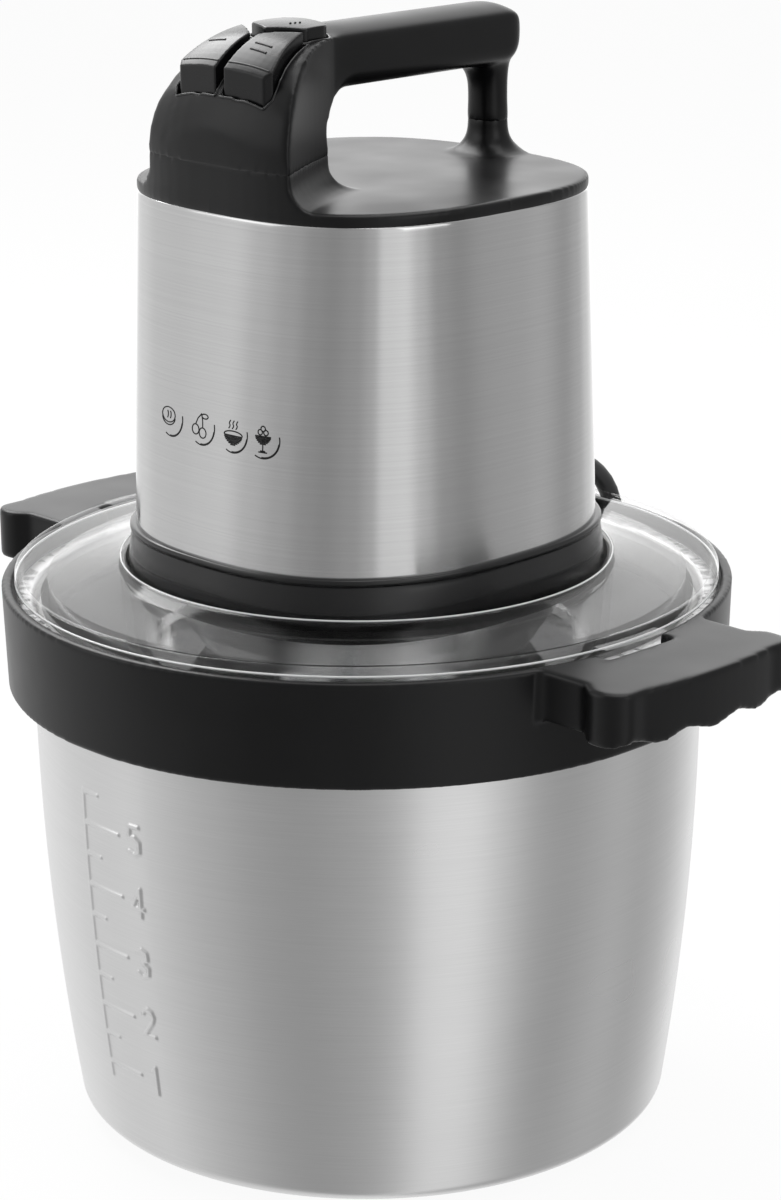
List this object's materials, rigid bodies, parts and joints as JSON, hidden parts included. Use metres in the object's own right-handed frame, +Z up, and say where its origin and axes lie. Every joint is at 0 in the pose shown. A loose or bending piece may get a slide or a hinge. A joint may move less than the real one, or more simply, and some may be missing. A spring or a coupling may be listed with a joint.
{
  "type": "electric food chopper",
  "caption": "Electric food chopper with a steel bowl in a two-handled collar, a clear lid and a lift-off motor head with a carrying handle.",
  "frame": {"origin": "centre of the flat bottom of the bowl, on the surface it stands on", "axes": "+Z up along the bowl, blade and motor axis; -Y to the front, where the buttons are; +Y to the rear, where the cord leaves; the two side grips lie along X"},
  "size_m": [0.3175, 0.3155, 0.3828],
  "materials": {
    "bowl_steel": "satin, finely brushed round",
    "shell_steel": "bright, brushed round",
    "pan_steel": "plain pressed sheet",
    "black_plastic": "satin",
    "button_plastic": "semi gloss",
    "clear_plastic": "clear, polished",
    "grey_rubber": "soft matt",
    "black_rubber": "soft matt",
    "hub_plastic": "fine satin",
    "light_plastic": "plain moulding",
    "blade_steel": "ground edge",
    "machined_steel": "turned",
    "screw_steel": "zinc plated",
    "cast_alloy": "die cast",
    "gear_plastic": "plain moulding",
    "core_steel": "stacked sheet",
    "copper": "enamelled wire",
    "brass": "plain",
    "bronze": "sintered",
    "carbon": "pressed",
    "board_green": "lacquered"
  },
  "bodies": {
    "bowl_body": {"bowl": "bowl_steel", "bowl_collar": "black_plastic", "pivot_pin": "machined_steel"},
    "blade_unit": {"blade_hub": "hub_plastic", "hub_bush": "bronze", "lower_blade": "blade_steel", "blade_spacer": "hub_plastic", "upper_blade": "blade_steel", "blade_nut": "machined_steel"},
    "lid_body": {"lid": "clear_plastic", "lid_gasket": "grey_rubber", "lid_bush": "light_plastic"},
    "rotor": {"rotor_shaft": "machined_steel", "rotor_core": "core_steel", "rotor_winding": "copper", "commutator": "copper", "cooling_fan": "carbon"},
    "carrier": {"planet_carrier": "machined_steel"},
    "planet_1": {"planet_gear_1": "gear_plastic"},
    "planet_2": {"planet_gear_2": "gear_plastic"},
    "planet_3": {"planet_gear_3": "gear_plastic"},
    "speed_one": {"button_one": "button_plastic"},
    "speed_two": {"button_two": "button_plastic"},
    "pulse": {"button_pulse": "button_plastic"},
    "motor_head": {"base_pan": "pan_steel", "base_ring": "black_plastic", "motor_shell": "shell_steel", "top_cover": "black_plastic", "handle_shell": "black_plastic", "gearbox_housing": "cast_alloy", "ring_gear": "machined_steel", "output_bearing": "machined_steel", "output_seal": "black_rubber", "motor_frame": "cast_alloy", "lower_bearing": "machined_steel", "stator_core": "core_steel", "stator_coils": "copper", "stator_screws": "screw_steel", "upper_bracket": "cast_alloy", "upper_bearing": "machined_steel", "brush_holders": "brass", "carbon_brushes": "carbon", "gearbox_screws": "screw_steel", "base_screws": "screw_steel", "handle_screws": "screw_steel", "control_board": "board_green", "micro_switches": "carbon", "button_carrier": "light_plastic", "carrier_screws": "screw_steel", "spring_one": "screw_steel", "spring_two": "screw_steel", "spring_pulse": "screw_steel", "strain_relief": "black_rubber", "cord": "black_rubber", "cord_coil": "black_rubber", "plug": "black_rubber", "plug_pins": "brass"}
  },
  "joints": [
    {"name": "blade_spin", "type": "hinge", "parent": "bowl_body", "child": "blade_unit", "pos_m": [0, 0, 0.02], "axis": [0, 0, 1], "continuous": true},
    {"name": "lid_lift", "type": "slide", "parent": "bowl_body", "child": "lid_body", "axis": [0, 0, 1], "range_m": [0, 0.1]},
    {"name": "motor_head_lift", "type": "slide", "parent": "lid_body", "child": "motor_head", "axis": [0, 0, 1], "range_m": [0, 0.06]},
    {"name": "rotor_spin", "type": "hinge", "parent": "motor_head", "child": "rotor", "pos_m": [0, 0, 0.25], "axis": [0, 0, 1], "continuous": true},
    {"name": "carrier_spin", "type": "hinge", "parent": "motor_head", "child": "carrier", "pos_m": [0, 0, 0.175], "axis": [0, 0, 1], "continuous": true},
    {"name": "planet_1_spin", "type": "hinge", "parent": "carrier", "child": "planet_1", "pos_m": [0, 0.015, 0.19], "axis": [0, 0, 1], "continuous": true},
    {"name": "planet_2_spin", "type": "hinge", "parent": "carrier", "child": "planet_2", "pos_m": [-0.01299, -0.0075, 0.19], "axis": [0, 0, 1], "continuous": true},
    {"name": "planet_3_spin", "type": "hinge", "parent": "carrier", "child": "planet_3", "pos_m": [0.01299, -0.0075, 0.19], "axis": [0, 0, 1], "continuous": true},
    {"name": "speed_one_press", "type": "slide", "parent": "motor_head", "child": "speed_one", "axis": [0, 0, -1], "range_m": [0, 0.0025], "stiffness_N_per_m": 600, "deforming": ["spring_one"]},
    {"name": "speed_two_press", "type": "slide", "parent": "motor_head", "child": "speed_two", "axis": [0, 0, -1], "range_m": [0, 0.0025], "stiffness_N_per_m": 600, "deforming": ["spring_two"]},
    {"name": "pulse_press", "type": "slide", "parent": "motor_head", "child": "pulse", "axis": [0, 0, -1], "range_m": [0, 0.0025], "stiffness_N_per_m": 600, "deforming": ["spring_pulse"]}
  ],
  "couplings": [
    {"joint": "blade_spin", "follows": "rotor_spin", "ratio": 0.2},
    {"joint": "carrier_spin", "follows": "rotor_spin", "ratio": 0.2},
    {"joint": "planet_1_spin", "follows": "rotor_spin", "ratio": -0.53333},
    {"joint": "planet_2_spin", "follows": "rotor_spin", "ratio": -0.53333},
    {"joint": "planet_3_spin", "follows": "rotor_spin", "ratio": -0.53333}
  ]
}
